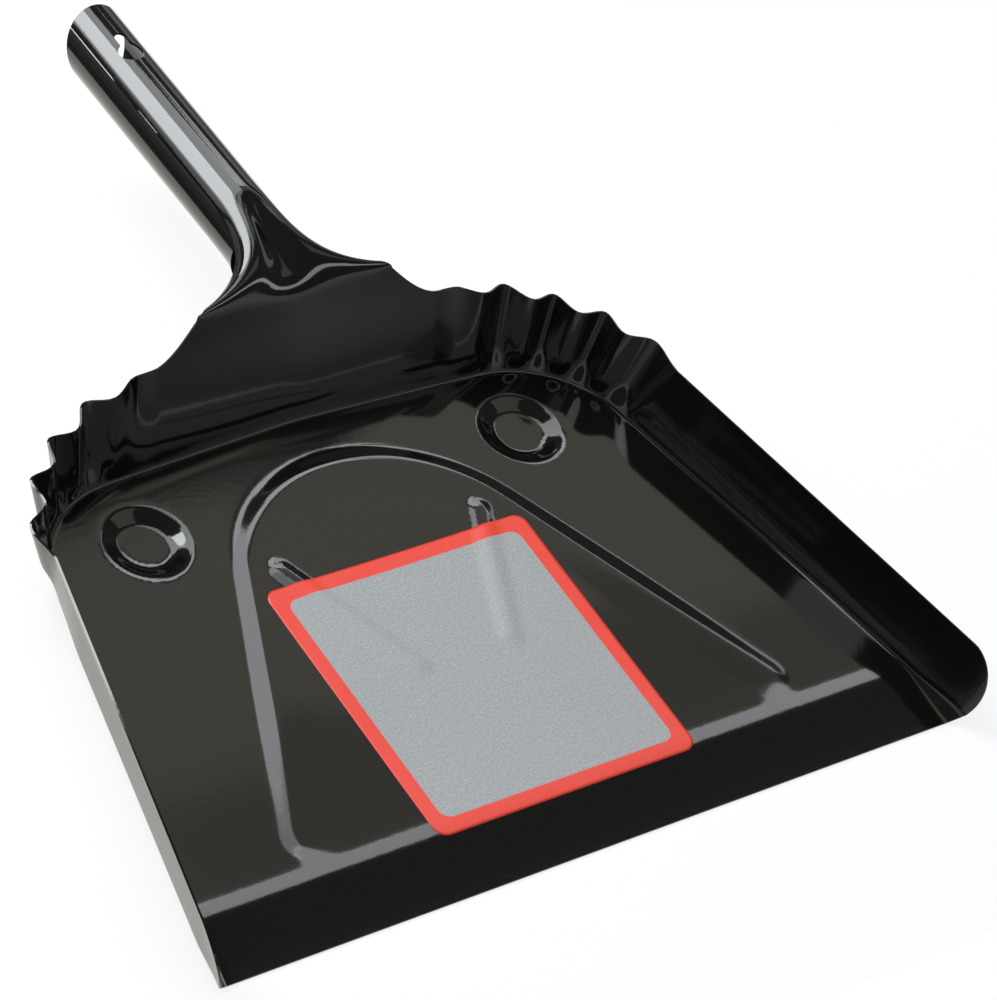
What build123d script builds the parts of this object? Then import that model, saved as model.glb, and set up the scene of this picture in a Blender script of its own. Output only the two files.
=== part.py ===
"""A pressed steel dustpan: one painted sheet for pan, fluted hood and rolled handle, and a label stuck on it.

Millimetres. The pan is drawn level with the lip along y = 0 and then set down on its lip and feet.
"""
import os
from math import atan2, cos, degrees, exp, hypot, radians, sin, sqrt, tan

from build123d import *

os.makedirs("parts", exist_ok=True)

# how far cutting tools reach past the pan
beyond = 40.0

# sheet and floor
sheet = 0.7
floor_top = 3.7
ramp_angle = 7.1
floor_bend_r = 58.0
wall_bend_r = 3.3

# side walls, as half widths at the front bend of the floor
bend_y = 24.2
base_half = 142.5
base_taper = 0.226
lean_front = 0.368
lean_rear = 0.346
lean_span = 125.8

# rear corners and their flutes
corner_x = 73.2
corner_y = 140.5
corner_r = 41.7
corner_lean = 0.362
corner_splay = 0.065
corner_splay_turn = 30.0
side_end = 143.5
flute_first = 19.6
flute_pitch = 19.65
flute_low = 2.0
flute_start = 7.0
flute_growth = 0.043
flute_fade = 0.4
flute_last_x = 65.2
flute_end_x = 55.0

# hood at the back
back_y0 = 185.8
back_lean = 0.5
back_vee = 0.045
back_vee_growth = 0.0009
shoulder = 38.5
hood_top = 51.0

# rim seen from the front: scoop below the shoulder, last flute, middle of the corner, end of the side wall,
# fall to the nose
rim_scoop = (46.0, 39.4)
rim_dip = (53.0, 35.8)
rim_flute = (65.2, 34.9)
rim_corner = (101.0, 29.2)
rim_side = (124.0, 27.6)
rim_fall = 0.113

# rounded nose of each side wall
nose_y = 12.6
nose_z = 9.1

# rolled handle
tube_r = 11.8
axis_y = 231.4
axis_z = 46.0
axis_fall = 0.042
root_y = 199.5
neck_front = 207.5
neck_rear = 243.0
neck_narrowing = 4.1
neck_rising = 3.57
dent_spread = 0.38
seam_angle = 55.0
seam_gap = 0.4
throat_rake = 6.0
end_y = 327.0
end_slant = 6.2
valley_y = 207.3
valley_z = 45.6
valley_slope = 0.355

# hanging hole, set back from the end of the tube
key_setback = 17.5
key_r = 4.3
key_slot = 4.2
key_long = 8.9

# arch bead on the floor
arch_y = 108.0
arch_r = 54.2
arch_splay = 25.0
arch_leg = 102.5
arch_half = 7.6
arch_flat = 1.8
arch_height = 1.6

# pair of straight ribs
rib_x = 39.6
rib_y = 130.2
rib_angle = 23.5
rib_length = 53.0
rib_half = 4.4
rib_flat = 1.2
rib_height = 1.4

# feet pressed down through the floor
foot_x = 75.0
foot_y = 156.1
foot_r = 14.8
foot_disc = 8.6
foot_depth = 2.2

# label
label_wide = 103.2
label_long = 103.2
label_x = 0.2
label_y = 72.3
label_corner = 4.5
label_thick = 0.2


def handle_axis(y):
    """Height of the handle's centre line."""
    return axis_z - axis_fall * (y - axis_y)


def above(drop):
    """Side view of everything above the sheet face that lies drop below the top of the floor."""
    slope = tan(radians(ramp_angle))
    ramp_lift = (sheet - drop) * sqrt(1 + slope ** 2)
    top = floor_top - drop
    corner = (top - ramp_lift) / slope
    front = -beyond
    rear = back_y0 + 2 * beyond
    high = hood_top + beyond
    with BuildSketch(Plane.YZ) as view:
        with BuildLine():
            Polyline(
                (front, ramp_lift + slope * front),
                (corner, top),
                (rear, top),
                (rear, high),
                (front, high),
                close=True,
            )
        make_face()
        bend = view.vertices().sort_by_distance((0, corner, top))[0]
        fillet(bend, radius=floor_bend_r - drop)
    return view.sketch


def tray_section(z, inset, front_y):
    """Plan of the walls at one height: splayed sides, fluted corners and a shallow vee behind."""
    rise = z - floor_top
    wave = max(0.0, flute_low + flute_growth * (rise - flute_start)) if rise > 0 else 0.0
    taper = base_taper + (lean_front - lean_rear) / lean_span * rise
    vee = back_vee + back_vee_growth * rise
    apex = back_y0 + back_lean * rise - inset * sqrt(1 + back_lean ** 2)
    wide = base_half + lean_front * rise - inset * sqrt(1 + lean_rear ** 2)

    def side(y):
        return (wide - taper * (y - bend_y), y)

    def back(x):
        return (x, apex - vee * x)

    def corner(angle, bulge):
        lean = corner_lean + corner_splay * exp(-((angle / corner_splay_turn) ** 2))
        reach = corner_r + lean * rise + bulge - inset * sqrt(1 + lean ** 2)
        return (corner_x + reach * cos(radians(angle)), corner_y + reach * sin(radians(angle)))

    lead = corner(flute_first - flute_pitch / 2, 0.0)
    turns = [corner(flute_first + n * flute_pitch / 2, wave * (-1) ** n) for n in range(7)]
    fade = corner(flute_first + 7 * flute_pitch / 2, -flute_fade * wave)
    start = side(side_end)
    finish = back(flute_end_x)
    with BuildSketch(Plane.XY.offset(z)) as plan:
        with BuildLine():
            Line((0, front_y), side(front_y))
            Line(side(front_y), start)
            Spline(start, lead, *turns, fade, back(flute_last_x), finish)
            Line(finish, back(0))
            mirror(about=Plane.YZ)
        make_face()
    return plan.sketch


def trapezoid(plane, across, half, flat, height, base, skirt):
    """Section of a pressed rib standing on base, with a short skirt below it."""
    with BuildSketch(plane) as section:
        with BuildLine():
            Polyline(
                (across - half, base - skirt),
                (across - half, base),
                (across - flat, base + height),
                (across + flat, base + height),
                (across + half, base),
                (across + half, base - skirt),
                close=True,
            )
        make_face()
    return section.sketch


def round_end(x, y, half, flat, height, base, skirt):
    """Turned end of a pressed rib."""
    with BuildPart() as end:
        with Locations((x, y, base - skirt)):
            Cylinder(half, skirt, align=(Align.CENTER, Align.CENTER, Align.MIN))
        with Locations((x, y, base)):
            Cone(half, flat, height, align=(Align.CENTER, Align.CENTER, Align.MIN))
    return end.part


def arch_bead(base, skirt):
    """Horseshoe bead: half an arch, one splayed leg and its round end, then mirrored."""
    turn = radians(arch_splay)
    leg_plane = Plane(
        origin=(0, arch_y, 0),
        x_dir=(cos(turn), sin(turn), 0),
        z_dir=(sin(turn), -cos(turn), 0),
    )
    tip = leg_plane.from_local_coords((arch_r, 0, arch_leg))
    with BuildPart() as bead:
        bar = trapezoid(leg_plane, arch_r, arch_half, arch_flat, arch_height, base, skirt)
        revolve(bar, axis=Axis((0, arch_y, 0), (0, 0, 1)), revolution_arc=90 - arch_splay)
        extrude(bar, amount=arch_leg)
        add(round_end(tip.X, tip.Y, arch_half, arch_flat, arch_height, base, skirt))
        mirror(about=Plane.YZ)
    return bead.part


def straight_ribs(base, skirt):
    """Two straight ribs closing in towards the front."""
    turn = radians(rib_angle)
    run = Plane(
        origin=(rib_x, rib_y, 0),
        x_dir=(cos(turn), -sin(turn), 0),
        z_dir=(-sin(turn), -cos(turn), 0),
    )
    tip = run.from_local_coords((0, 0, rib_length))
    with BuildPart() as pair:
        extrude(trapezoid(run, 0, rib_half, rib_flat, rib_height, base, skirt), amount=rib_length)
        add(round_end(rib_x, rib_y, rib_half, rib_flat, rib_height, base, skirt))
        add(round_end(tip.X, tip.Y, rib_half, rib_flat, rib_height, base, skirt))
        mirror(about=Plane.YZ)
    return pair.part


def neck_section(y, shape, depth=0.0):
    """Cross section of neck and handle: a dented arch that narrows and rises to the tube.

    shape "solid" closes the arch with half an ellipse below, "band" is the arch with its thickness,
    and "above" is the space over it, used to trim the wall that carries the neck.
    """
    left = 1 - min(1.0, max(0.0, (y - neck_front) / (neck_rear - neck_front)))
    half = tube_r + (shoulder - tube_r) * left ** neck_narrowing
    high = tube_r * (1 - left ** neck_rising)
    middle = handle_axis(y)
    dent = max(0.0, middle + high - valley_z - valley_slope * (y - valley_y))
    spread = dent_spread * half

    def spot(angle):
        x = half * sin(radians(angle))
        return (x, middle + high * cos(radians(angle)) - dent * exp(-((x / spread) ** 2)))

    def sunk(angle, by):
        ahead, behind = spot(angle + 0.5), spot(angle - 0.5)
        run = hypot(ahead[0] - behind[0], ahead[1] - behind[1])
        x, z = spot(angle)
        return (x + by * (ahead[1] - behind[1]) / run, z - by * (ahead[0] - behind[0]) / run)

    def arch(by):
        eaves = middle - by * (1 - high / tube_r)
        return [(by - half, eaves)] + [sunk(angle, by) for angle in range(-78, 79, 12)] + [(half - by, eaves)]

    top = arch(depth)
    side, eaves = top[-1]
    with BuildSketch(Plane.XZ.offset(-y)) as section:
        with BuildLine():
            Spline(*top)
            if shape == "solid":
                low = tube_r - depth - middle + eaves
                turn = [radians(angle) for angle in range(0, 181, 15)]
                Spline(*[(side * cos(t), eaves - low * sin(t)) for t in turn])
            elif shape == "band":
                under = arch(sheet)
                Spline(*under)
                Line(top[0], under[0])
                Line(top[-1], under[-1])
            else:
                wing = shoulder + beyond / 4
                high = hood_top + beyond
                Polyline((side, eaves), (wing, eaves), (wing, high), (-wing, high), (-wing, eaves), top[0])
        make_face()
    return section.sketch


def keel(block):
    """Edges where the walls of a lofted tray meet its floor, ramp and floor bend."""
    bottom = block.faces().filter_by(lambda f: f.normal_at().Z < -0.9).edges()
    return [e for e in bottom if e.center().Y > -5 and abs(e.center().X) > 1]


levels = (-2.0, floor_top + flute_start, hood_top)
rim_reach = base_half + lean_front * hood_top + beyond / 2
neck_step = (neck_rear - neck_front) / 12
stations = [root_y] + [neck_front + neck_step * n for n in range(13)] + [end_y + 2 * end_slant]

# outside of the pressed tray, down to the underside of the sheet
with BuildPart() as outside:
    loft(sections=[tray_section(z, 0.0, -6.0) for z in levels], ruled=True)
    extrude(above(sheet), amount=rim_reach, both=True, mode=Mode.INTERSECT)
    fillet(keel(outside), radius=wall_bend_r + sheet)

# the hollow of the tray, down to the top of the floor and open at the front
with BuildPart() as hollow:
    loft(sections=[tray_section(z, sheet, -8.0) for z in levels], ruled=True)
    extrude(above(0.0), amount=rim_reach, both=True, mode=Mode.INTERSECT)
    fillet(keel(hollow), radius=wall_bend_r)

# space over the root of the tongue, and space before the middle of the wall it stands on
with BuildPart() as over_root:
    loft(sections=[neck_section(y, "above", sheet / 2) for y in stations[2::-1]], ruled=True)

with BuildPart() as before_wall:
    loft(sections=[tray_section(z, sheet / 2, -8.0) for z in levels], ruled=True)

# tongue drawn back from the hood and rolled into the handle, with its slanted end and keyhole
with BuildPart() as tongue:
    loft(sections=[neck_section(y, "solid") for y in stations[:7:-1]], ruled=True)
    loft(sections=[neck_section(y, "solid", sheet) for y in stations[:7:-1]], ruled=True, mode=Mode.SUBTRACT)
    loft(sections=[neck_section(y, "band") for y in stations[8::-1]], ruled=True)
    # raked free edge under the neck
    collar_y = stations[8]
    collar_z = handle_axis(collar_y)
    with BuildSketch(Plane.YZ) as throat:
        with BuildLine():
            Polyline(
                (collar_y - 2, collar_z - tube_r / 2),
                (collar_y, collar_z - tube_r / 2),
                (collar_y + throat_rake, collar_z - 1.5 * tube_r),
                (collar_y - 2, collar_z - 1.5 * tube_r),
                close=True,
            )
        make_face()
    extrude(amount=2 * tube_r, both=True, mode=Mode.SUBTRACT)
    # seam of the rolled tube
    seam_plane = Plane(
        origin=(0, collar_y + 1, handle_axis(collar_y + 1)),
        x_dir=(cos(radians(seam_angle)), 0, sin(radians(seam_angle))),
        z_dir=(0, 1, -axis_fall),
    )
    with BuildSketch(seam_plane) as seam:
        with Locations((0, tube_r)):
            Rectangle(seam_gap, tube_r)
    extrude(amount=end_y, mode=Mode.SUBTRACT)
    end_plane = Plane(
        origin=(0, end_y, handle_axis(end_y)),
        x_dir=(1, 0, 0),
        z_dir=(0, tube_r, -end_slant),
    )
    split(bisect_by=end_plane, keep=Keep.BOTTOM)
    key_y = end_y - key_setback
    slot_end = key_y + key_long - key_slot / 2
    with BuildSketch(Plane.XY.offset(handle_axis(key_y))) as keyhole:
        with Locations((0, key_y)):
            Circle(key_r)
        with Locations((0, (key_y + slot_end) / 2)):
            Rectangle(key_slot, slot_end - key_y)
        with Locations((0, slot_end)):
            Circle(key_slot / 2)
    extrude(amount=2 * tube_r, mode=Mode.SUBTRACT)
    add(before_wall.part, mode=Mode.SUBTRACT)

# the whole pressing, still level
with BuildPart() as pressing:
    add(outside.part)
    add(hollow.part, mode=Mode.SUBTRACT)
    # rim, falling from the shoulders of the hood to the noses
    with BuildSketch(Plane.XZ) as rim:
        with BuildLine():
            crown = shoulder - 0.5
            eaves = (crown, handle_axis(neck_front) - 1.5)
            Spline(eaves, rim_scoop, rim_dip, rim_flute)
            Polyline(
                rim_flute,
                rim_corner,
                rim_side,
                (rim_reach, rim_side[1] - rim_fall * (rim_reach - rim_side[0])),
                (rim_reach, 2 * hood_top),
                (0, 2 * hood_top),
                (0, hood_top - 1),
                (crown, hood_top - 1),
                eaves,
            )
        make_face()
        mirror(about=Plane.YZ)
    extrude(amount=2 * rim_reach, both=True, mode=Mode.SUBTRACT)
    # rounded nose of each wall, running down into the lip
    with BuildSketch(Plane.YZ) as nose:
        with Locations((nose_y, nose_z)):
            Rectangle(2 * beyond, 2 * beyond, align=(Align.MAX, Align.CENTER))
        with Locations((nose_y, nose_z)):
            Circle(hypot(nose_y, nose_z), mode=Mode.SUBTRACT)
    extrude(amount=rim_reach, both=True, mode=Mode.SUBTRACT)
    # tongue on the top of the hood
    add(over_root.part, mode=Mode.SUBTRACT)
    add(tongue.part)
    # bead and ribs pressed up
    add(arch_bead(floor_top, sheet / 2))
    add(straight_ribs(floor_top, sheet / 2))
    add(arch_bead(floor_top - sheet, 3.0), mode=Mode.SUBTRACT)
    add(straight_ribs(floor_top - sheet, 3.0), mode=Mode.SUBTRACT)
    # feet pressed down
    hang = (Align.CENTER, Align.CENTER, Align.MIN)
    under = floor_top - sheet
    with Locations((foot_x, foot_y, under), (-foot_x, foot_y, under)):
        Cone(foot_r, foot_disc, foot_depth, rotation=(180, 0, 0), align=hang)
    with Locations((foot_x, foot_y, floor_top), (-foot_x, foot_y, floor_top)):
        Cone(foot_r, foot_disc, foot_depth, rotation=(180, 0, 0), align=hang, mode=Mode.SUBTRACT)

# thin cover lying on the floor, the ribs and the bead
with BuildPart() as cover:
    extrude(above(0.0), amount=rim_reach, both=True)
    extrude(above(-label_thick), amount=rim_reach, both=True, mode=Mode.SUBTRACT)
    add(straight_ribs(floor_top + label_thick, label_thick))
    add(arch_bead(floor_top + label_thick, label_thick))
    add(straight_ribs(floor_top, label_thick), mode=Mode.SUBTRACT)
    add(arch_bead(floor_top, label_thick), mode=Mode.SUBTRACT)

# printed label, cut from that cover
with BuildPart() as paper:
    with BuildSketch() as outline:
        with Locations((label_x, label_y)):
            RectangleRounded(label_wide, label_long, label_corner)
    extrude(amount=4 * floor_top)
    add(cover.part, mode=Mode.INTERSECT)

# set down on the lip and the rear edges of the feet, centred on the ground
settle = degrees(atan2(floor_top - sheet - foot_depth, foot_y + foot_disc))
box = (Rot(X=-settle) * pressing.part).bounding_box()
place = Pos(-(box.min.X + box.max.X) / 2, -(box.min.Y + box.max.Y) / 2, -box.min.Z) * Rot(X=-settle)

with BuildPart() as dustpan:
    add(place * pressing.part)
dustpan.part.label = "dustpan"
export_step(dustpan.part, "parts/dustpan.step")

with BuildPart() as label:
    add(place * paper.part)
label.part.label = "label"
export_step(label.part, "parts/label.step")
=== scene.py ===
from math import atan, atan2, cos, exp, pi, radians, sin, sqrt, tan

import bpy
import numpy as np
from mathutils import Matrix


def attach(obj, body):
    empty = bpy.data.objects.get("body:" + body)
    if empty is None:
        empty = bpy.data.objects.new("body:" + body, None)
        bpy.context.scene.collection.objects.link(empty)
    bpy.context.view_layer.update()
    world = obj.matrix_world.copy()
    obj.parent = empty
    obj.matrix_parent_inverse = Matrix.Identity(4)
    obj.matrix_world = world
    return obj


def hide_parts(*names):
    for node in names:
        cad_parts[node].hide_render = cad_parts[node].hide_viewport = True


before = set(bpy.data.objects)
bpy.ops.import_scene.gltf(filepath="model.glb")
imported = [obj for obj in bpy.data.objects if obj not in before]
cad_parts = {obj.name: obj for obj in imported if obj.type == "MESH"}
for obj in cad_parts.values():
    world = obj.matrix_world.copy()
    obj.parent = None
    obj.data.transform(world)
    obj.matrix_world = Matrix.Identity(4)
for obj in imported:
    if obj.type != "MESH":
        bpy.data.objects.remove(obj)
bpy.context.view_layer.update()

# Sizes are in mm, and angles are in degrees unless a comment says radians. The pan is worked out level,
# with the middle of its lip at the origin, x to the right and y to the rear, and is turned into the row
# frame at the end. Most sizes are the CAD source's, under its names. Those of bends, bead, ribs, feet, hood,
# throat and tube end are set closer to the photo here.

# sheet, and the floor with the ramp up to it; the relief ends at the floor's edges by a high power
sheet = 0.7
half_sheet = sheet / 2
edge_round = 0.2
edge_angle = 60.0
floor_top = 3.7
ramp_angle = 7.1
floor_bend_r = 58.0
floor_edge_power = 40
lip_y = -0.24

# side walls and the bend at their foot
bend_y = 24.2
base_half = 142.5
base_taper = 0.226
lean_front = 0.368
lean_rear = 0.346
lean_span = 125.8
side_end = 143.5
wall_bend_r = 1.2

# nose, the round front end of a side wall: its front edge ends at nose_split on the circle, and the bend
# at the wall's foot widens by nose_bend over the last nose_blend
nose_y = 12.6
nose_z = 9.1
nose_r = sqrt(nose_y ** 2 + nose_z ** 2)
nose_split = 135.0
nose_bend = 5.0
nose_blend = 26.0

# foot of the left wall, which stands further out than the right one's; it fades over each of the spans
left_out = 1.1
left_heights = (3.0, 25.0)
left_front = (-3.0, 17.0)
left_rear = (145.0, 120.0)
left_floor = 15.0

# fluted rear corners, crests and valleys counted together
corner_x = 73.2
corner_y = 140.5
corner_r = 41.7
corner_lean = 0.362
corner_splay = 0.065
corner_splay_turn = 30.0
flute_count = 7
flute_first = 19.6
flute_pitch = 19.65
flute_low = 2.0
flute_foot = 0.6
flute_start = 7.0
flute_growth = 0.043
flute_fade = 0.4
flute_last_x = 65.2
flute_end_x = 55.0
flute_level = 24.0
side_lead = 16.0
back_lead = 14.0

# hood, the leaning back wall; its bow is a cubic that peaks at bow_peak a third of the way up
back_y0 = 185.8
back_lean = 0.5
back_tall = 43.0
back_bow = 1.5
bow_peak = 4 / 27
foot_lean = back_lean - back_bow / bow_peak / back_tall
back_vee = 0.045
back_vee_growth = 0.0009
back_ridge = 6.0

# rim: half widths and heights that it passes through, and its fall along the sides
shoulder = 38.5
rim_shoulder = (shoulder, 45.4)
rim_scoop = (46.0, 39.4)
rim_dip = (53.0, 35.8)
rim_flute = (65.2, 34.9)
rim_corner = (101.0, 29.2)
rim_side = (124.0, 27.6)
rim_run = 60.0
rim_fall = 0.113

# neck with its dent, and the rolled tube with its seam, its slanted end and the throat in front of it
tube_r = 11.8
tube_mid = tube_r - half_sheet
axis_y = 231.4
axis_z = 46.0
axis_fall = 0.042
neck_front = 207.5
neck_rear = 243.0
neck_narrowing = 4.1
neck_rising = 3.57
valley_y = 207.3
valley_z = 45.6
valley_slope = 0.355
dent_spread = 0.38
dent_blend = 0.3
dent_trim = 0.05
seam_angle = 55.0
seam_rise = 1.6
seam_gap = 0.4
throat_run = 18.5
throat_bend = 0.7
end_y = 327.0
end_slant = 6.2
end_under = 3.0

# rounded fold between hood and neck
fold_most = 4.0
fold_least = 1.8
fold_power = 6
fold_fade = 20.0

# keyhole, and the stretch of closer rows about it
key_y = end_y - 17.5
key_r = 4.3
key_slot = 4.2
key_long = 8.9
key_turn = 50.0
key_start = key_y - 6.0
key_stop = key_y + key_long + 2.0

# horseshoe bead, crisp outside and sloping in to a dished floor
arch_y = 108.0
arch_r = 54.2
arch_splay = 25.0
arch_leg = 102.5
arch_cap = 4.0
arch_out = 7.1
arch_crest = 2.0
arch_in = 10.7
arch_height = 0.45
arch_out_blur = 0.22
arch_in_blur = 0.12
dish_in = 50.0
dish_out = 5.0
dish_height = 0.55
dish_fade = 60.0

# pair of straight ribs
rib_x = 39.6
rib_y = 130.2
rib_angle = 23.5
rib_length = 53.0
rib_half = 6.0
rib_height = 0.75

# feet pressed down through the floor
foot_x = 75.0
foot_y = 156.1
foot_r = 14.8
foot_disc = 8.6
foot_flat = 9.2
foot_depth = 2.2
foot_blur = 0.07

# label, with the size that one unit of its UV map stands for
label_wide = 103.2
label_long = 103.2
label_x = 0.2
label_y = 72.3
label_corner = 4.5
label_thick = 0.2
label_gap = 0.04
label_border = 5.5
field_corner = 4.0
uv_unit = 100.0

# row frame: the pan tips about its lip, by radians, until the feet meet the ground
row_y = 165.212
tip = -atan2(floor_top - sheet - foot_depth, foot_y + foot_disc)

# mesh counts, rounds in which a line settles on a surface, and a guard against dividing by nothing
side_columns = 84
corner_columns = 61
back_columns = 90
bend_rows = 5
wall_rows = 13
fold_rows = 5
neck_rows = 24
tube_rows = 16
key_rows = 27
end_rows = 4
wrap_columns = 36
label_columns = 110
rim_points = 60
settle_rounds = 12
tiny = 1e-6


def to_row(points):
    """Level points in mm, turned about the lip until the feet meet the ground, then shifted, in metres."""
    x, y, z = np.moveaxis(np.asarray(points, dtype=float), -1, 0)
    turned = (x, y * cos(tip) - z * sin(tip) - row_y, y * sin(tip) + z * cos(tip))
    return np.stack(turned, axis=-1) / 1000


def soft_step(t, blur):
    """0 below t = 0 and 1 above t = 1, straight between, with both bends rounded over blur."""
    knee = (t + np.sqrt(t * t + blur ** 2)) / 2
    late = (t - 1 + np.sqrt((t - 1) ** 2 + blur ** 2)) / 2
    return knee - late


def ease(value, start, end):
    """Smooth step: 0 up to start, 1 from end on, and a cubic that is level at both ends between them."""
    t = np.clip((value - start) / (end - start), 0, 1)
    return t * t * (3 - 2 * t)


def spline_weights(knots, at):
    """Weights of a natural cubic spline: weights @ points gives the curve at each place in at."""
    count = len(knots)
    gap = np.diff(knots)
    inner = np.arange(1, count - 1)
    left = np.eye(count)
    left[inner, inner - 1] = gap[:-1]
    left[inner, inner] = 2 * (gap[:-1] + gap[1:])
    left[inner, inner + 1] = gap[1:]
    right = np.zeros((count, count))
    right[inner, inner - 1] = 6 / gap[:-1]
    right[inner, inner] = -6 / gap[:-1] - 6 / gap[1:]
    right[inner, inner + 1] = 6 / gap[1:]
    bend = np.linalg.solve(left, right)
    k = np.clip(np.searchsorted(knots, at, side="right") - 1, 0, count - 2)
    before = (knots[k + 1] - at)[:, None]
    after = (at - knots[k])[:, None]
    width = gap[k][:, None]
    same = np.eye(count)
    flat = (before * same[k] + after * same[k + 1]) / width
    bent_before = (before ** 3 / width - before * width) / 6 * bend[k]
    bent_after = (after ** 3 / width - after * width) / 6 * bend[k + 1]
    return flat + bent_before + bent_after


def ramp_height(y):
    """Top of the floor without relief: the ramp rises from the lip, and an arc bends it level."""
    angle = radians(ramp_angle)
    lift = sheet / cos(angle)
    level = (floor_top - lift) / tan(angle) + floor_bend_r * tan(angle / 2)
    start = level - floor_bend_r * sin(angle)
    into = np.clip(level - y, 0, floor_bend_r * sin(angle))
    arc = floor_top - floor_bend_r + np.sqrt(floor_bend_r ** 2 - into ** 2)
    return np.where(y < start, lift + tan(angle) * y, arc)


def bead_relief(wide, y):
    """Bead: from the distance to its middle line, which is an arch with two splayed legs, a crisp outer flank
    times the sum of a long inner slope and a dished floor that rises to the bead."""
    turn = radians(arch_splay)
    along = wide * sin(turn) - (y - arch_y) * cos(turn)
    across = wide * cos(turn) + (y - arch_y) * sin(turn) - arch_r
    off = np.where(along > 0, across, np.hypot(wide, y - arch_y) - arch_r)
    cap = np.hypot(np.maximum(across + arch_cap, 0), along - arch_leg) - arch_cap
    edge = np.where(along > arch_leg, cap, off)
    outer = soft_step((arch_out - edge) / (arch_out - arch_crest), arch_out_blur)
    inner = soft_step((off + arch_in) / (arch_in + arch_crest), arch_in_blur)
    dish = ease(off, -dish_in, -dish_out) * ease(along, arch_leg, arch_leg - dish_fade)
    return outer * (arch_height * inner + dish_height * dish)


def rib_relief(wide, y):
    """Ribs: an eased ridge over the distance to a straight middle line and to its two ends."""
    turn = radians(rib_angle)
    run = -(wide - rib_x) * sin(turn) - (y - rib_y) * cos(turn)
    off = (wide - rib_x) * cos(turn) - (y - rib_y) * sin(turn)
    past = run - np.clip(run, 0, rib_length)
    return rib_height * ease(np.hypot(off, past), rib_half, 0)


def foot_relief(wide, y):
    """Feet: round dimples, flat below with a straight flank, from the distance to the middle."""
    off = np.hypot(wide - foot_x, y - foot_y)
    return -foot_depth * soft_step((foot_r - off) / (foot_r - foot_flat), foot_blur)


def relief(x, y):
    """Height of bead, ribs and feet over the floor, the same on both sides of the middle."""
    wide = np.abs(x)
    return bead_relief(wide, y) + rib_relief(wide, y) + foot_relief(wide, y)


def side_x(y, z, inset):
    """Side wall: half width at a place along the pan, wider with height and narrower to the rear."""
    rise = z - floor_top
    wide = base_half + lean_front * rise - inset * sqrt(1 + lean_rear ** 2)
    return wide - (base_taper + (lean_front - lean_rear) / lean_span * rise) * (y - bend_y)


def back_at(x, z, inset):
    """Back wall: leans back with height, bows forward low down, and its halves meet in a rounded vee."""
    rise = z - floor_top
    part = np.clip(rise / back_tall, 0, 1)
    bow = back_bow / bow_peak * part * (1 - part) ** 2
    far = back_y0 + back_lean * rise - inset * sqrt(1 + back_lean ** 2) - bow
    return far - (back_vee + back_vee_growth * rise) * np.sqrt(x * x + back_ridge ** 2)


def corner_at(angle, z, bulge, inset):
    """Corner wall: a cone about the corner's centre, with the flutes' bulge added to its radius."""
    rise = z - floor_top
    lean = corner_lean + corner_splay * exp(-(angle / corner_splay_turn) ** 2)
    reach = corner_r + lean * rise + bulge - inset * sqrt(1 + lean ** 2)
    return corner_x + reach * cos(radians(angle)), corner_y + reach * sin(radians(angle))


def corner_keys(z, inset):
    """Points that the fluted corner passes through at heights z: side, crests and valleys in turn, back."""
    rise = z - floor_top
    starting = flute_low * ease(rise, flute_foot, flute_start)
    wave = np.where(rise < flute_start, starting, flute_low + flute_growth * (rise - flute_start))
    keys = [(side_x(y, z, inset), y + 0 * z) for y in (side_end - side_lead, side_end)]
    keys.append(corner_at(flute_first - flute_pitch / 2, z, 0 * z, inset))
    for n in range(flute_count):
        keys.append(corner_at(flute_first + n * flute_pitch / 2, z, wave * (-1) ** n, inset))
    keys.append(corner_at(flute_first + flute_count * flute_pitch / 2, z, -flute_fade * wave, inset))
    for x in (flute_last_x, flute_end_x, flute_end_x - back_lead):
        keys.append((x + 0 * z, back_at(x, z, inset)))
    return np.array([key[0] for key in keys]), np.array([key[1] for key in keys])


# columns of the right half: even steps along the side, along the corner at flute_level, and across the back
side_step = np.arange(side_columns) / side_columns
level_x, level_y = corner_keys(np.array([flute_level]), 0.0)
spans = np.hypot(np.diff(level_x[:, 0]), np.diff(level_y[:, 0]))
knots = np.concatenate([[0], np.cumsum(spans)])
corner_weights = spline_weights(knots, np.linspace(knots[1], knots[-2], corner_columns))
back_x = flute_end_x * (1 - np.arange(1, back_columns + 1) / back_columns)

# rim: a spline over the scoop beside the neck, straight lines beyond it
scoop = np.array([rim_shoulder, rim_scoop, rim_dip, rim_flute])
scoop_at = np.linspace(shoulder, rim_flute[0], rim_points)
scoop_z = spline_weights(scoop[:, 0], scoop_at) @ scoop[:, 1]
rim_at = np.concatenate([scoop_at, [rim_corner[0], rim_side[0], rim_side[0] + rim_run]])
rim_z = np.concatenate([scoop_z, [rim_corner[1], rim_side[1], rim_side[1] - rim_run * rim_fall]])


def rear_wall(z, inset):
    """Corner and back columns of the right half at heights z, one per column, from side to middle."""
    keys_x, keys_y = corner_keys(z[:corner_columns], inset)
    x = np.concatenate([(corner_weights * keys_x.T).sum(axis=1), back_x])
    back_y = back_at(back_x, z[corner_columns:], inset)
    return x, np.concatenate([(corner_weights * keys_y.T).sum(axis=1), back_y])


def wall_line(side_y, side_z, rear_z):
    """Right half of a line round the walls as x, y and z, from the side's y and z and the rear's z."""
    rear_x, rear_y = rear_wall(rear_z, half_sheet)
    x = np.concatenate([side_x(side_y, side_z, half_sheet), rear_x])
    return np.array((x, np.concatenate([side_y, rear_y]), np.concatenate([side_z, rear_z])))


def handle_axis(y):
    """Height of the tube's middle line, which falls slightly to the rear."""
    return axis_z - axis_fall * (y - axis_y)


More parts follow.
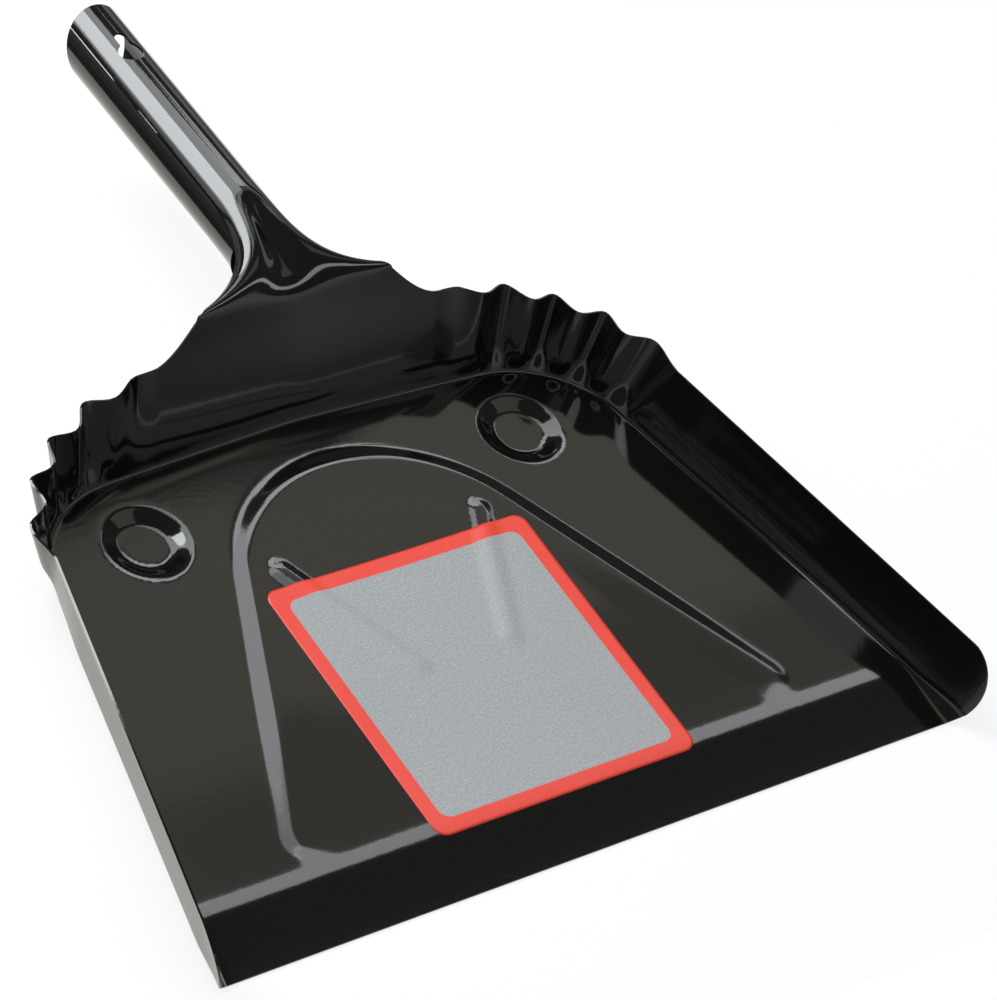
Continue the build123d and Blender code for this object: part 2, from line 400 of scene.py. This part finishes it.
def neck_shape(y):
    """What is left of the narrowing, and half width, crown height and dent of the sheet's middle. Width and
    height follow powers of what is left, and the dent is what the crown stands over a sloping valley."""
    left = 1 - np.clip((y - neck_front) / (neck_rear - neck_front), 0, 1)
    half = tube_mid + (shoulder - tube_r) * left ** neck_narrowing
    high = tube_mid * (1 - left ** neck_rising)
    over = handle_axis(y) + high - valley_z - valley_slope * (y - valley_y)
    dent = np.maximum((over + np.sqrt(over ** 2 + dent_blend)) / 2 - dent_trim, 0)
    return left, half, high, dent


def neck_at(angle, y):
    """Neck or tube at an angle from the top to the right: an ellipse with the dent taken off its crown."""
    _, half, high, dent = neck_shape(y)
    x = half * np.sin(angle)
    tall = np.where(np.cos(angle) > 0, high, tube_mid)
    sink = np.where(np.cos(angle) > 0, dent * np.exp(-(x / (dent_spread * half)) ** 2), 0)
    return np.stack((x, y + 0 * x, handle_axis(y) + tall * np.cos(angle) - sink), axis=-1)


def left_edge(y):
    """Angle of the sheet's left free edge, from the eaves up to the seam."""
    left = neck_shape(y)[0]
    return -np.radians(seam_angle + (90 - seam_angle) * left ** seam_rise)


def wrap_angle(y, share):
    """Angle a share of the way from the right side round to the seam, a gap short of the left edge."""
    closed = 2 * pi + left_edge(y) - seam_gap / tube_r
    return pi / 2 + (closed - pi / 2) * share


def tube_end(angle):
    """Rear end of the tube at an angle: a slanted cut, further back at the top and a little shorter below."""
    return end_y + end_slant * np.cos(angle) - end_under * ((1 - np.cos(angle)) / 2) ** 2


def grid_faces(numbers):
    """Four-sided faces of a grid of vertex numbers, facing up where columns run right and rows run back."""
    corners = (numbers[:-1, :-1], numbers[:-1, 1:], numbers[1:, 1:], numbers[1:, :-1])
    return np.stack([corner.ravel() for corner in corners], axis=-1)


def numbered(grids):
    """Vertex numbers of each grid of points, counted on from one grid to the next."""
    starts = np.cumsum([0] + [grid.size // 3 for grid in grids])
    return [start + np.arange(grid.size // 3).reshape(grid.shape[:-1]) for start, grid in zip(starts, grids)]


def mirrored(line):
    """Points of a whole line from left front to right front, from its right half, front to middle."""
    right = line.T
    return np.concatenate([right[:-1] * (-1, 1, 1), right[::-1]])


def rounded(first, corner, last, parts):
    """Rows of a rounded corner between two lines: quadratic curves that leave and arrive along its sides."""
    t = parts[:, None, None]
    return (1 - t) ** 2 * first + 2 * t * (1 - t) * corner + t * t * last


def make_piece(name, points, faces, body="root"):
    """Mesh object from the level points in mm that the faces use, smooth shaded, riding on a body."""
    mesh = bpy.data.meshes.new(name)
    used, order = np.unique(faces, return_inverse=True)
    mesh.from_pydata(to_row(points[used]), [], order.reshape(faces.shape))
    mesh.update()
    mesh.shade_smooth()
    piece = bpy.data.objects.new(name, mesh)
    bpy.context.scene.collection.objects.link(piece)
    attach(piece, body)
    return piece


def bend_lines():
    """Right half of three lines as x, y and z: the floor's edge, the sharp corner between floor and wall, and
    the wall's foot. The first and the last lie off the corner by the tangent's length of the bend."""
    base_y = lip_y + side_step * (side_end - lip_y)
    base_z = ramp_height(base_y) - half_sheet
    rear_z = np.full(corner_columns + back_columns, floor_top - half_sheet)
    corner = wall_line(base_y, base_z, rear_z)
    x, y, _ = corner
    slope = np.arctan(lean_rear + (foot_lean - lean_rear) * ease(x, corner_x, shoulder))
    bend_r = wall_bend_r + half_sheet + nose_bend * ease(y, nose_blend, 0)
    tangent = bend_r * np.tan((pi / 2 - slope) / 2)
    climb = tangent * np.cos(slope)
    along_x, along_y = np.gradient(x), np.gradient(y)
    along_x[-1], along_y[-1] = -1, 0
    run = np.hypot(along_x, along_y)
    edge_x = x - along_y / run * tangent
    edge_y = y + along_x / run * tangent
    edge_y[:side_columns] = base_y
    edge = np.array((edge_x, edge_y, ramp_height(edge_y) - half_sheet))
    front_y = nose_y - sqrt(nose_r ** 2 - (base_z[0] + climb[0] - nose_z) ** 2)
    wall_y = front_y + side_step * (side_end - front_y)
    wall_z = ramp_height(wall_y) - half_sheet + climb[:side_columns]
    return edge, corner, wall_line(wall_y, wall_z, rear_z + climb[side_columns:])


def fold_line():
    """Right half of the line, as x, y and z, where hood and roof of the neck would meet in a sharp fold, and
    the rounded fold's reach on both sides of it, least at the shoulder."""
    x = back_x[back_x.round(3) <= shoulder]
    angle = np.arcsin(np.clip(x / shoulder, 0, 1))
    z = np.full(len(x), axis_z)
    for _ in range(settle_rounds):
        y = back_at(x, z, half_sheet)
        z = neck_at(angle, np.minimum(y, neck_front))[:, 2]
    reach = fold_most - (fold_most - fold_least) * (x / shoulder) ** fold_power
    return np.array((x, back_at(x, z, half_sheet), z)), reach


def side_tops():
    """Top line of the side wall as y and z: the nose's circle from its front edge up, then the rim."""
    split = radians(nose_split)
    arc = nose_r * (split - pi / 2)
    length = side_step * (arc + side_end - nose_y)
    angle = split - np.minimum(length, arc) / nose_r
    on_nose = length < arc
    y = np.where(on_nose, nose_y + nose_r * np.cos(angle), nose_y + length - arc)
    nose = nose_z + nose_r * np.sin(angle)
    z = nose
    for _ in range(settle_rounds):
        rim = np.interp(side_x(y, z, half_sheet), rim_at, rim_z)
        z = np.where(on_nose, np.minimum(nose, rim), rim)
    return y, z


def rear_tops(fold_z, reach):
    """Heights of the rear columns' tops: the rim, and across the hood the line where the fold starts."""
    top = np.full(corner_columns + back_columns, rim_corner[1])
    for _ in range(settle_rounds):
        top = np.interp(rear_wall(top, half_sheet)[0], rim_at, rim_z)
    top[-len(fold_z):] = fold_z - reach * cos(atan(back_lean))
    return top


def between(foot, top, front, part):
    """Line a part of the way from foot to top, moved to meet the nose, and less with each step back."""
    line = (1 - part) * foot + part * top
    return line + (1 - side_step) * (front - line[0])


def wall_grid(foot, rear_top):
    """Walls in rows from foot to rim: the sides are filled between foot, rim and nose, and the rear's columns
    rise in even steps."""
    base_y, base_z = foot[1:, :side_columns]
    base_rear = foot[2, side_columns:]
    top_y, top_z = side_tops()
    first = atan2(base_z[0] - nose_z, base_y[0] - nose_y) + 2 * pi
    rows = []
    for part in np.arange(1, wall_rows + 1) / wall_rows:
        turn = first + (radians(nose_split) - first) * part
        side_y = between(base_y, top_y, nose_y + nose_r * cos(turn), part)
        side_z = between(base_z, top_z, nose_z + nose_r * sin(turn), part)
        rows.append(mirrored(wall_line(side_y, side_z, base_rear + part * (rear_top - base_rear))))
    return np.array(rows)


def floor_grid(edge):
    """Floor between its edges: straight rows from left to right, the last one along the back, at the ramp's
    height with the relief, which ends at the edges."""
    across = np.linspace(-1, 1, 2 * back_columns + 1)
    rows = side_columns + corner_columns
    x = edge[0, :rows, None] * across
    y = np.repeat(edge[1, :rows, None], len(across), axis=1)
    x[-1], y[-1] = mirrored(edge[:, rows - 1:])[:, :2].T
    inside = np.minimum(np.arange(rows)[:, None], 1) * (1 - np.abs(across) ** floor_edge_power)
    return np.stack((x, y, ramp_height(y) - half_sheet + relief(x, y) * inside), axis=-1)


def neck_roof(fold, reach):
    """Roof of the neck and top of the tube: rows run back, columns from the left free edge to the right side.
    The first rows are drawn forward to the hood. Gives points, their angles and how far each was drawn."""
    stations = np.concatenate([
        np.linspace(neck_front + fold_most, neck_rear, neck_rows),
        np.linspace(neck_rear, key_start, tube_rows)[1:],
        np.linspace(key_start, key_stop, key_rows)[1:],
        np.linspace(key_stop, end_y, end_rows)[1:],
    ])[:, None]
    drawn = ease(stations, neck_front + fold_most + fold_fade, neck_front + fold_most)
    y = stations - drawn * (fold_most - reach)
    share = np.arcsin(np.clip(fold[:, 0] / shoulder, -1, 1)) / pi + 0.5
    turned = left_edge(y) + share * (pi / 2 - left_edge(y))
    stretch = np.clip((stations - key_stop) / (end_y - key_stop), 0, 1)
    roof = neck_at(turned, y + stretch * (tube_end(turned) - end_y))
    drop = drawn * (neck_front - fold[:, 1])
    roof[..., 1] -= drop
    return roof, turned, drop


def beside(marked):
    """For each vertex of a grid, whether any face round it is marked."""
    padded = np.pad(marked, 1)
    return padded[:-1, :-1] | padded[:-1, 1:] | padded[1:, 1:] | padded[1:, :-1]


def cut_keyhole(roof, turned):
    """Keyhole: a round hole with a slot behind it. Faces with two or more corners inside are left out, and
    the vertices round them move onto its outline. Gives the roof and which faces are kept."""
    x, y, z = np.moveaxis(roof, -1, 0)
    near = np.clip(y, key_y, key_y + key_long - key_slot / 2)
    to_round = np.hypot(x, y - key_y)
    to_slot = np.hypot(x, y - near)
    on_round = to_round - key_r < to_slot - key_slot / 2
    centre_y = np.where(on_round, key_y, near)
    radius = np.where(on_round, key_r, key_slot / 2)
    distance = np.maximum(np.where(on_round, to_round, to_slot), tiny)
    inner = ((distance < radius) & (np.abs(turned) < radians(key_turn))).astype(int)
    hole = inner[:-1, :-1] + inner[:-1, 1:] + inner[1:, 1:] + inner[1:, :-1] >= 2
    border = beside(hole) & beside(~hole)
    x = np.where(border, x * radius / distance, x)
    y = np.where(border, centre_y + (y - centre_y) * radius / distance, y)
    round_z = handle_axis(y) + np.sqrt(np.maximum(tube_mid ** 2 - x ** 2, 0))
    return np.stack((x, y, np.where(border, round_z, z)), axis=-1), ~hole


def wrap_under(side_y, drop):
    """The sheet carried on from the right side under the tube and up to the seam: each column runs from a
    slanting free edge, the throat, to the tube's end, in the roof's own steps."""
    share = np.arange(1, wrap_columns + 1) / wrap_columns
    along = ((side_y - side_y[0]) / (side_y[-1] - side_y[0]))[:, None]
    throat = side_y[0] + throat_run * share ** throat_bend
    y = throat + along * (tube_end(wrap_angle(end_y, share)) - throat)
    wrap = neck_at(wrap_angle(y, share), y + drop)
    wrap[..., 1] = y
    return wrap


def left_foot_out(points):
    """Moves the left wall's foot outwards, less up the wall, into the floor and towards nose and corner."""
    x, y, z = points.T
    wall_x = side_x(y, floor_top, 0)
    near_foot = np.interp(z, left_heights, (1, 0)) * ease(-x, wall_x - left_floor, wall_x)
    shift = left_out * near_foot * ease(y, *left_front) * ease(y, *left_rear)
    return np.stack((x - shift, y, z), axis=-1)


def pressing_mesh():
    """The whole sheet as one mesh on its middle: floor, bend, walls, fold, neck and tube. The floor's right
    half is split into triangles the other way round, so that both halves match."""
    edge, corner, foot = bend_lines()
    right_fold, right_reach = fold_line()
    fold = mirrored(right_fold)
    reach = np.concatenate([right_reach[:-1], right_reach[::-1]])
    bend_parts = np.arange(1, bend_rows + 1) / bend_rows
    bend = rounded(mirrored(edge), mirrored(corner), mirrored(foot), bend_parts)
    walls = np.concatenate([bend, wall_grid(foot, rear_tops(right_fold[2], right_reach))])
    middle = walls.shape[1] // 2
    hood = slice(middle - len(fold) // 2, middle + len(fold) // 2 + 1)
    roof, turned, drop = neck_roof(fold, reach)
    folded = rounded(walls[-1, hood], fold, roof[0], np.arange(1, fold_rows) / fold_rows)
    roof, kept = cut_keyhole(roof, turned)
    grids = (floor_grid(edge), walls, folded, roof, wrap_under(roof[:, -1, 1], drop[:, -1:]))
    floor_n, walls_n, folded_n, roof_n, wrap_n = numbered(grids)
    border_n = np.concatenate([floor_n[:-1, 0], floor_n[-1], floor_n[-2::-1, -1]])
    floor_faces = grid_faces(floor_n)
    on_right = np.tile(np.arange(2 * back_columns) >= back_columns, len(floor_n) - 1)
    faces = [
        np.where(on_right[:, None], np.roll(floor_faces, 1, axis=1), floor_faces),
        grid_faces(np.vstack([border_n, walls_n])),
        grid_faces(np.vstack([walls_n[-1, hood], folded_n, roof_n[0]])),
        grid_faces(roof_n)[kept.ravel()],
        grid_faces(np.hstack([roof_n[:, -1:], wrap_n])),
    ]
    points = np.concatenate([grid.reshape(-1, 3) for grid in grids])
    return left_foot_out(points), np.concatenate(faces)


def label_mesh():
    """Thin film over the floor: a square grid, its corners drawn in to arcs, lifted to lie on floor, bead and
    ribs. Gives points, faces and each point's place on the flat label."""
    steps = np.linspace(-1, 1, label_columns)
    u, v = np.meshgrid(steps, steps)
    x, y = u * label_wide / 2, v * label_long / 2
    dx = np.maximum(np.abs(x) - label_wide / 2 + label_corner, 0)
    dy = np.maximum(np.abs(y) - label_long / 2 + label_corner, 0)
    in_corner = (dx > 0) & (dy > 0)
    shrink = np.where(in_corner, np.maximum(dx, dy) / np.maximum(np.hypot(dx, dy), tiny), 1)
    x = np.where(in_corner, np.sign(x) * (label_wide / 2 - label_corner + dx * shrink), x)
    y = np.where(in_corner, np.sign(y) * (label_long / 2 - label_corner + dy * shrink), y)
    place_x, place_y = x + label_x, y + label_y
    z = ramp_height(place_y) + relief(place_x, place_y) + label_thick / 2 + label_gap
    points = np.stack((place_x, place_y, z), axis=-1).reshape(-1, 3)
    numbers = np.arange(len(points)).reshape(u.shape)
    return points, grid_faces(numbers), np.stack((x, y), axis=-1).reshape(-1, 2)


pressing = make_piece("pressing", *pressing_mesh())
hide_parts("dustpan")
thick = pressing.modifiers.new("sheet", "SOLIDIFY")
thick.thickness = sheet / 1000
thick.offset = 0
thick.use_even_offset = True
edges = pressing.modifiers.new("sheet edges", "BEVEL")
edges.width = edge_round / 1000
edges.segments = 2
edges.limit_method = "ANGLE"
edges.angle_limit = radians(edge_angle)
edges.harden_normals = True

label_points, label_faces, label_flat = label_mesh()
label = make_piece("label_film", label_points, label_faces)
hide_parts("label")
uv = label.data.uv_layers.new(name="print")
loop_vertex = np.empty(len(label.data.loops), dtype=np.int32)
label.data.loops.foreach_get("vertex_index", loop_vertex)
uv.data.foreach_set("uv", label_flat[loop_vertex].ravel() / uv_unit)
film = label.modifiers.new("film", "SOLIDIFY")
film.thickness = label_thick / 1000
film.offset = 0

# the label stays out of the gloss of walls and hood
label.visible_glossy = False


def colour(code):
    """Linear colour of an sRGB hex code."""
    parts = np.array([int(code[k:k + 2], 16) for k in (0, 2, 4)]) / 255
    linear = np.where(parts <= 0.04045, parts / 12.92, ((parts + 0.055) / 1.055) ** 2.4)
    return (*linear, 1.0)


def add_node(tree, kind, links=(), **settings):
    """Adds a node, sets its properties or input values, and links (output, input) pairs into it."""
    node = tree.nodes.new(kind)
    for key, value in settings.items():
        if key in node.bl_rna.properties:
            setattr(node, key, value)
        else:
            node.inputs[key.replace("_", " ")].default_value = value
    for output, place in links:
        tree.links.new(output, node.inputs[place])
    return node


def new_material(name):
    """Empty node material and its tree."""
    material = bpy.data.materials.new(name)
    material.use_nodes = True
    material.node_tree.nodes.clear()
    return material, material.node_tree


# gloss black enamel on steel, sprayed and stoved: a deep black mirror, its reflections ruffled a little by
# an orange peel about 2 mm across
peel_size = 2.222
enamel, tree = new_material("gloss black enamel")
place = add_node(tree, "ShaderNodeTexCoord")
peel = add_node(tree, "ShaderNodeTexNoise", [(place.outputs["Object"], "Vector")],
                Scale=1000 / peel_size, Detail=2.0)
bump = add_node(tree, "ShaderNodeBump", [(peel.outputs["Fac"], "Height")], Strength=0.02, Distance=0.0004)
coat = add_node(tree, "ShaderNodeBsdfPrincipled", [(bump.outputs["Normal"], "Normal")],
                Base_Color=colour("0c0b0a"), Roughness=0.07, IOR=1.52)
add_node(tree, "ShaderNodeOutputMaterial", [(coat.outputs["BSDF"], "Surface")])
pressing.data.materials.append(enamel)

# printed plastic film with a satin face: a red border with rounded inner corners round a light grey field,
# whose ink is speckled in grains of just under a millimetre, so that the grey isn't flat
grain_size = 0.8333
field_half = label_wide / 2 - label_border - field_corner
film_look, tree = new_material("printed label film")
place = add_node(tree, "ShaderNodeUVMap", uv_map="print")
beyond = add_node(tree, "ShaderNodeVectorMath", [(place.outputs["UV"], 0)], operation="ABSOLUTE")
beyond = add_node(tree, "ShaderNodeVectorMath", [(beyond.outputs[0], 0)], operation="SUBTRACT")
beyond.inputs[1].default_value = (field_half / uv_unit, field_half / uv_unit, 0)
beyond = add_node(tree, "ShaderNodeVectorMath", [(beyond.outputs[0], 0)], operation="MAXIMUM")
beyond = add_node(tree, "ShaderNodeVectorMath", [(beyond.outputs[0], 0)], operation="LENGTH")
in_border = add_node(tree, "ShaderNodeMath", [(beyond.outputs["Value"], 0)], operation="GREATER_THAN")
in_border.inputs[1].default_value = field_corner / uv_unit
grain = add_node(tree, "ShaderNodeTexNoise", [(place.outputs["UV"], "Vector")],
                 Scale=uv_unit / grain_size, Detail=3.0)
tone = add_node(tree, "ShaderNodeMix", [(grain.outputs["Fac"], "Factor")], data_type="RGBA")
tone.inputs["A"].default_value = colour("707274")
tone.inputs["B"].default_value = colour("a8abac")
ink = add_node(tree, "ShaderNodeMix", [(in_border.outputs[0], "Factor")], data_type="RGBA")
tree.links.new(tone.outputs["Result"], ink.inputs["A"])
ink.inputs["B"].default_value = colour("d43828")
face = add_node(tree, "ShaderNodeBsdfPrincipled", [(ink.outputs["Result"], "Base Color")],
                Roughness=0.4, IOR=1.45)
add_node(tree, "ShaderNodeOutputMaterial", [(face.outputs["BSDF"], "Surface")])
label.data.materials.append(film_look)

# pale table, laid with matt white card: white with a faint shadow to the camera, matt to scattered light,
# and in the pan's gloss a warm glare, painted light of the lit table, that grows to the rear: weaker at the
# front as a painted shadow of the pan
table_look, tree = new_material("pale table card")
seen = add_node(tree, "ShaderNodeLightPath")
matt = add_node(tree, "ShaderNodeBsdfDiffuse", Color=colour("ededed"))
white = add_node(tree, "ShaderNodeEmission", Strength=1.0)
place = add_node(tree, "ShaderNodeTexCoord")
apart = add_node(tree, "ShaderNodeSeparateXYZ", [(place.outputs["Object"], "Vector")])
# painted shadow: the glare's strength is lower at the front, where the pan shades the table, and higher to
# the rear
painted_shadow_ramp = add_node(tree, "ShaderNodeMapRange", [(apart.outputs["Y"], "Value")],
                 From_Max=0.08, To_Min=0.8, To_Max=1.7)
glare = add_node(tree, "ShaderNodeEmission", [(painted_shadow_ramp.outputs["Result"], "Strength")], Color=colour("fffcf6"))
in_gloss = add_node(tree, "ShaderNodeMixShader",
                    [(seen.outputs["Is Glossy Ray"], 0), (matt.outputs[0], 1), (glare.outputs[0], 2)])
shadowed = add_node(tree, "ShaderNodeMixShader", [(white.outputs[0], 1), (matt.outputs[0], 2)], Fac=0.2)
card = add_node(tree, "ShaderNodeMixShader",
                [(seen.outputs["Is Camera Ray"], 0), (in_gloss.outputs[0], 1), (shadowed.outputs[0], 2)])
add_node(tree, "ShaderNodeOutputMaterial", [(card.outputs[0], "Surface")])
table = bpy.data.meshes.new("table")
outline = [(-0.24, -0.24), (0.24, -0.24), (0.24, 0.30), (-0.07, 0.30), (-0.07, 0.07), (-0.24, 0.02)]
table.from_pydata([(x, y, 0) for x, y in outline], [], [range(len(outline))])
table.materials.append(table_look)
floor = bpy.data.objects.new("table", table)
bpy.context.scene.collection.objects.link(floor)

# studio panels, at heights in metres and in a cool and a warm white
panel_height = 0.9
strip_height = 0.15
cool = (0.94, 0.98, 1.0)
warm = (1.0, 0.96, 0.8)


def softbox(name, x, y, brightness, tint, lights=True, height=panel_height):
    """Level panel facing down over a range of x and y in level mm. Its power is its brightness times pi and
    its area, and where it doesn't light it is seen in the gloss only."""
    lamp = bpy.data.lights.new(name, "AREA")
    lamp.shape = "RECTANGLE"
    lamp.size = (x[1] - x[0]) / 1000
    lamp.size_y = (y[1] - y[0]) / 1000
    lamp.energy = brightness * pi * lamp.size * lamp.size_y
    lamp.color = tint
    lit = bpy.data.objects.new(name, lamp)
    lit.location = (sum(x) / 2000, (sum(y) / 2 - row_y) / 1000, height)
    lit.visible_diffuse = lights
    lit.visible_camera = False
    bpy.context.scene.collection.objects.link(lit)


# key and fill light the pan; the low strip shows in the ramp's bend, and the others in walls, rim, handle and
# ribs, all in the gloss alone
softbox("key", (-1000, -60), (650, 1300), 13.0, cool)
softbox("fill", (-60, 300), (600, 1100), 4.2, cool)
softbox("strip", (-63, 283), (73, 105), 3.7, cool, lights=False, height=strip_height)
gloss_panels = (
    ("key edge", (-1250, -1000), (900, 1500), 5.0, cool),
    ("key end", (-1800, -1250), (900, 1500), 1.6, cool),
    ("fill edge", (300, 440), (600, 1000), 4.2, cool),
    ("handle", (600, 800), (840, 1070), 5.0, cool),
    ("handle side", (440, 600), (840, 980), 5.0, cool),
    ("handle edge", (800, 1150), (930, 1230), 3.8, cool),
    ("ceiling", (440, 1000), (600, 785), 0.72, warm),
    ("ceiling edge", (440, 1000), (487, 600), 0.42, warm),
    ("rib", (150, 440), (460, 600), 2.5, cool),
    ("rib back", (740, 980), (785, 930), 0.72, warm),
    ("front", (300, 900), (-50, 220), 0.6, warm),
    ("right", (1010, 1110), (600, 900), 3.0, cool),
)
for panel in gloss_panels:
    softbox(*panel, lights=False)

# painted grey surroundings, a ring in metres seen only in the gloss: dim at the table and lighter above it
ring_steps = 48
ring_r = 3.0
ring_bottom = -0.6
ring_tall = 1.6
around_look, tree = new_material("grey painted surroundings")
place = add_node(tree, "ShaderNodeTexCoord")
apart = add_node(tree, "ShaderNodeSeparateXYZ", [(place.outputs["Object"], "Vector")])
rise = add_node(tree, "ShaderNodeMapRange", [(apart.outputs["Z"], "Value")],
                From_Max=0.7, To_Min=0.25, To_Max=0.8)
grey = add_node(tree, "ShaderNodeEmission", [(rise.outputs["Result"], "Strength")])
add_node(tree, "ShaderNodeOutputMaterial", [(grey.outputs[0], "Surface")])
ring_turn = np.arange(ring_steps) * 2 * pi / ring_steps
ring_low = np.full(ring_steps, ring_bottom)
bottom = np.stack((ring_r * np.cos(ring_turn), ring_r * np.sin(ring_turn), ring_low), axis=-1)
here = np.arange(ring_steps)
ahead = np.roll(here, -1)
ring_faces = np.stack((here, ahead, ahead + ring_steps, here + ring_steps), axis=-1)
around = bpy.data.meshes.new("surroundings")
around.from_pydata(np.concatenate([bottom, bottom + (0, 0, ring_tall)]), [], ring_faces)
around.materials.append(around_look)
backdrop = bpy.data.objects.new("surroundings", around)
backdrop.visible_camera = False
backdrop.visible_diffuse = False
backdrop.visible_shadow = False
bpy.context.scene.collection.objects.link(backdrop)

# world: white to the camera, soft to scattered light, and a dim room in the gloss
world = bpy.data.worlds.new("studio")
bpy.context.scene.world = world
world.use_nodes = True
tree = world.node_tree
tree.nodes.clear()
paper_white = colour("ffffff")
seen = add_node(tree, "ShaderNodeLightPath")
room = add_node(tree, "ShaderNodeBackground", Color=paper_white, Strength=0.12)
soft = add_node(tree, "ShaderNodeBackground", Color=paper_white, Strength=0.6)
white = add_node(tree, "ShaderNodeBackground", Color=paper_white, Strength=1.0)
scattered = add_node(tree, "ShaderNodeMixShader",
                     [(seen.outputs["Is Diffuse Ray"], 0), (room.outputs[0], 1), (soft.outputs[0], 2)])
either = add_node(tree, "ShaderNodeMixShader",
                  [(seen.outputs["Is Camera Ray"], 0), (scattered.outputs[0], 1), (white.outputs[0], 2)])
add_node(tree, "ShaderNodeOutputWorld", [(either.outputs[0], "Surface")])

# camera solved on the photo: angles in radians, places in level mm, and focal length in pixels of its frame
azimuth = -0.903328
elevation = 0.760571
roll = 0.415641
far = 1713.147
target = np.array((51.7032, 134.1171, 0))
focal = 5253.731
frame_px = 1000
sensor = 36.0
out = np.array((sin(azimuth) * cos(elevation), -cos(azimuth) * cos(elevation), sin(elevation)))
level_right = np.array((cos(azimuth), sin(azimuth), 0))
level_up = np.cross(level_right, -out)
right = cos(roll) * level_right + sin(roll) * level_up
up = -sin(roll) * level_right + cos(roll) * level_up
eye = target + far * out
origin = to_row(np.zeros(3))
axes = [(to_row(axis) - origin) * 1000 for axis in (right, up, out)]
pose = Matrix(axes).transposed().to_4x4()
pose.translation = to_row(eye)
lens = bpy.data.cameras.new("camera")
lens.sensor_width = sensor
lens.lens = focal * sensor / frame_px
lens.clip_start = 0.01
camera = bpy.data.objects.new("camera", lens)
camera.matrix_world = pose
bpy.context.scene.collection.objects.link(camera)
bpy.context.scene.camera = camera
bpy.context.scene.view_settings.view_transform = "Standard"
